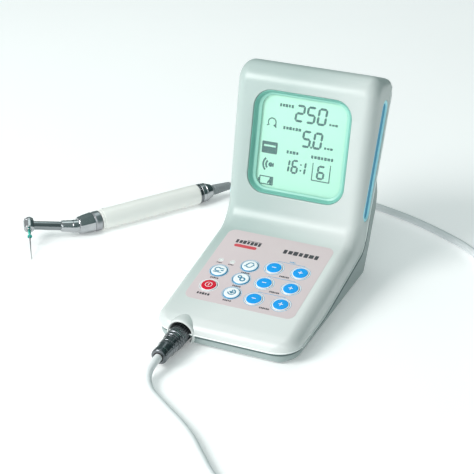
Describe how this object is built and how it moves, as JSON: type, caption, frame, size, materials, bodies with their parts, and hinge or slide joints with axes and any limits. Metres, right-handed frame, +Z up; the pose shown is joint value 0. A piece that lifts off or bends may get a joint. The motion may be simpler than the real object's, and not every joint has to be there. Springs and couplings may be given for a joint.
{
  "type": "endodontic motor",
  "caption": "Tabletop motor console with a sloped round-key keypad and a tilted display, a grey cord, and a white motor handpiece with a bent reduction head and fine file.",
  "frame": {"origin": "on the table, at the centre of the plane of the console's four feet", "axes": "+X to the user's right across the console, +Y from the keypad towards the display, +Z up"},
  "size_m": [0.4291, 0.4147, 0.1543],
  "materials": {
    "casing_white": "glossy cool white moulded plastic",
    "casing_rear": "glossy cool white moulded plastic",
    "strip_blue": "translucent teal blue",
    "bezel_mint": "satin mint",
    "lens_clear": "clear",
    "lcd_mint": "lit mint liquid crystal",
    "backlight_white": "diffuse white",
    "board_green": "solder mask",
    "component_black": "moulded black",
    "overlay": "fine satin film",
    "light_green": "clear tinted",
    "steel": "brushed",
    "foil": "flat ribbon",
    "rubber": "soft",
    "battery_blue": "shrink sleeve",
    "contact_gold": "plated",
    "key_red": "embossed film",
    "key_pale": "embossed film",
    "key_blue": "embossed film",
    "plug_metal": "dark satin chrome",
    "cord_grey": "smooth sheath",
    "sleeve_white": "satin off-white",
    "chrome": "polished",
    "guard_grey": "soft sleeve",
    "copper": "wound",
    "button_blue": "glossy",
    "file_teal": "nickel-titanium with a teal stop"
  },
  "bodies": {
    "root": {"front_shell": "casing_white", "rear_shell": "casing_rear", "side_strip_left": "strip_blue", "side_strip_right": "strip_blue", "lcd_bezel": "bezel_mint", "display_lens": "lens_clear", "lcd_panel": "lcd_mint", "backlight": "backlight_white", "main_board": "board_green", "board_components": "component_black", "buzzer": "component_black", "keypad_overlay": "overlay", "status_lights": "light_green", "key_board": "board_green", "dome_switches": "steel", "ribbon_cable": "foil", "board_screws": "steel", "casing_screws": "steel", "rubber_feet": "rubber", "battery_pack": "battery_blue", "power_jack": "component_black", "motor_socket": "steel", "socket_nut": "steel", "socket_pins": "contact_gold", "plug_body": "plug_metal", "plug_clamp": "plug_metal", "cord_gland": "rubber", "cord_run": "cord_grey", "cord_coil": "cord_grey", "cord_tie": "rubber", "cord_tail": "cord_grey"},
    "key_power": {"key_power": "key_red"},
    "key_reverse": {"key_reverse": "key_pale"},
    "key_auto_reverse": {"key_auto_reverse": "key_pale"},
    "key_gear": {"key_gear": "key_pale"},
    "key_memory": {"key_memory": "key_pale"},
    "key_speed_down": {"key_speed_down": "key_blue"},
    "key_speed_up": {"key_speed_up": "key_blue"},
    "key_torque_down": {"key_torque_down": "key_blue"},
    "key_torque_up": {"key_torque_up": "key_blue"},
    "key_program_down": {"key_program_down": "key_blue"},
    "key_program_up": {"key_program_up": "key_blue"},
    "battery_cover": {"battery_cover": "casing_rear"},
    "plug_ring": {"plug_ring": "plug_metal"},
    "handpiece": {"motor_sleeve": "sleeve_white", "nose_ring": "chrome", "end_cap": "chrome", "cord_guard": "guard_grey", "motor_can": "steel", "motor_bearings": "steel"},
    "rotor": {"motor_rotor": "copper"},
    "handpiece_button": {"handpiece_button": "button_blue"},
    "contra_angle": {"contra_body": "chrome", "neck_tube": "chrome", "gear_cartridge": "steel", "head_housing": "chrome"},
    "neck_shaft": {"neck_shaft": "steel"},
    "chuck": {"chuck": "steel", "endodontic_file": "file_teal"},
    "push_cap": {"push_cap": "chrome"}
  },
  "joints": [
    {"name": "key_power_press", "type": "slide", "parent": "root", "child": "key_power", "axis": [0, 0.1736, -0.9848], "range_m": [0, 0.0005], "stiffness_N_per_m": 400, "springref_m": -0.0002},
    {"name": "key_reverse_press", "type": "slide", "parent": "root", "child": "key_reverse", "axis": [0, 0.1736, -0.9848], "range_m": [0, 0.0005], "stiffness_N_per_m": 400, "springref_m": -0.0002},
    {"name": "key_auto_reverse_press", "type": "slide", "parent": "root", "child": "key_auto_reverse", "axis": [0, 0.1736, -0.9848], "range_m": [0, 0.0005], "stiffness_N_per_m": 400, "springref_m": -0.0002},
    {"name": "key_gear_press", "type": "slide", "parent": "root", "child": "key_gear", "axis": [0, 0.1736, -0.9848], "range_m": [0, 0.0005], "stiffness_N_per_m": 400, "springref_m": -0.0002},
    {"name": "key_memory_press", "type": "slide", "parent": "root", "child": "key_memory", "axis": [0, 0.1736, -0.9848], "range_m": [0, 0.0005], "stiffness_N_per_m": 400, "springref_m": -0.0002},
    {"name": "key_speed_down_press", "type": "slide", "parent": "root", "child": "key_speed_down", "axis": [0, 0.1736, -0.9848], "range_m": [0, 0.0005], "stiffness_N_per_m": 400, "springref_m": -0.0002},
    {"name": "key_speed_up_press", "type": "slide", "parent": "root", "child": "key_speed_up", "axis": [0, 0.1736, -0.9848], "range_m": [0, 0.0005], "stiffness_N_per_m": 400, "springref_m": -0.0002},
    {"name": "key_torque_down_press", "type": "slide", "parent": "root", "child": "key_torque_down", "axis": [0, 0.1736, -0.9848], "range_m": [0, 0.0005], "stiffness_N_per_m": 400, "springref_m": -0.0002},
    {"name": "key_torque_up_press", "type": "slide", "parent": "root", "child": "key_torque_up", "axis": [0, 0.1736, -0.9848], "range_m": [0, 0.0005], "stiffness_N_per_m": 400, "springref_m": -0.0002},
    {"name": "key_program_down_press", "type": "slide", "parent": "root", "child": "key_program_down", "axis": [0, 0.1736, -0.9848], "range_m": [0, 0.0005], "stiffness_N_per_m": 400, "springref_m": -0.0002},
    {"name": "key_program_up_press", "type": "slide", "parent": "root", "child": "key_program_up", "axis": [0, 0.1736, -0.9848], "range_m": [0, 0.0005], "stiffness_N_per_m": 400, "springref_m": -0.0002},
    {"name": "battery_cover_pull", "type": "slide", "parent": "root", "child": "battery_cover", "axis": [0, 0.8866, -0.4626], "range_m": [0, 0.018]},
    {"name": "plug_ring_turn", "type": "hinge", "parent": "root", "child": "plug_ring", "pos_m": [-0.031, -0.08, 0.009], "axis": [0, -1, 0], "range_deg": [0, 90]},
    {"name": "handpiece_lift", "type": "slide", "parent": "root", "child": "handpiece", "axis": [0, 0, 1], "range_m": [0, 0.04]},
    {"name": "rotor_spin", "type": "hinge", "parent": "handpiece", "child": "rotor", "pos_m": [-0.14893, 0.08859, 0.00865], "axis": [-0.5678, -0.8231, 0], "continuous": true},
    {"name": "handpiece_button_press", "type": "slide", "parent": "handpiece", "child": "handpiece_button", "axis": [0.746, -0.5146, -0.4226], "range_m": [0, 0.0005], "stiffness_N_per_m": 300, "springref_m": -0.0002},
    {"name": "contra_angle_swivel", "type": "hinge", "parent": "handpiece", "child": "contra_angle", "pos_m": [-0.17732, 0.04743, 0.00865], "axis": [-0.5678, -0.8231, 0], "range_deg": [-180, 180]},
    {"name": "neck_shaft_spin", "type": "hinge", "parent": "contra_angle", "child": "neck_shaft", "pos_m": [-0.19483, 0.03024, 0.01082], "axis": [-0.7888, -0.5975, 0.1445], "continuous": true},
    {"name": "file_spin", "type": "hinge", "parent": "contra_angle", "child": "chuck", "pos_m": [-0.21297, 0.0165, 0.01414], "axis": [0.5068, -0.7651, -0.3971], "continuous": true},
    {"name": "push_cap_press", "type": "slide", "parent": "contra_angle", "child": "push_cap", "axis": [0.5068, -0.7651, -0.3971], "range_m": [0, 0.0005], "stiffness_N_per_m": 500, "springref_m": -0.0002}
  ],
  "couplings": [
    {"joint": "neck_shaft_spin", "follows": "rotor_spin", "ratio": 0.0625},
    {"joint": "file_spin", "follows": "rotor_spin", "ratio": 0.0625}
  ]
}
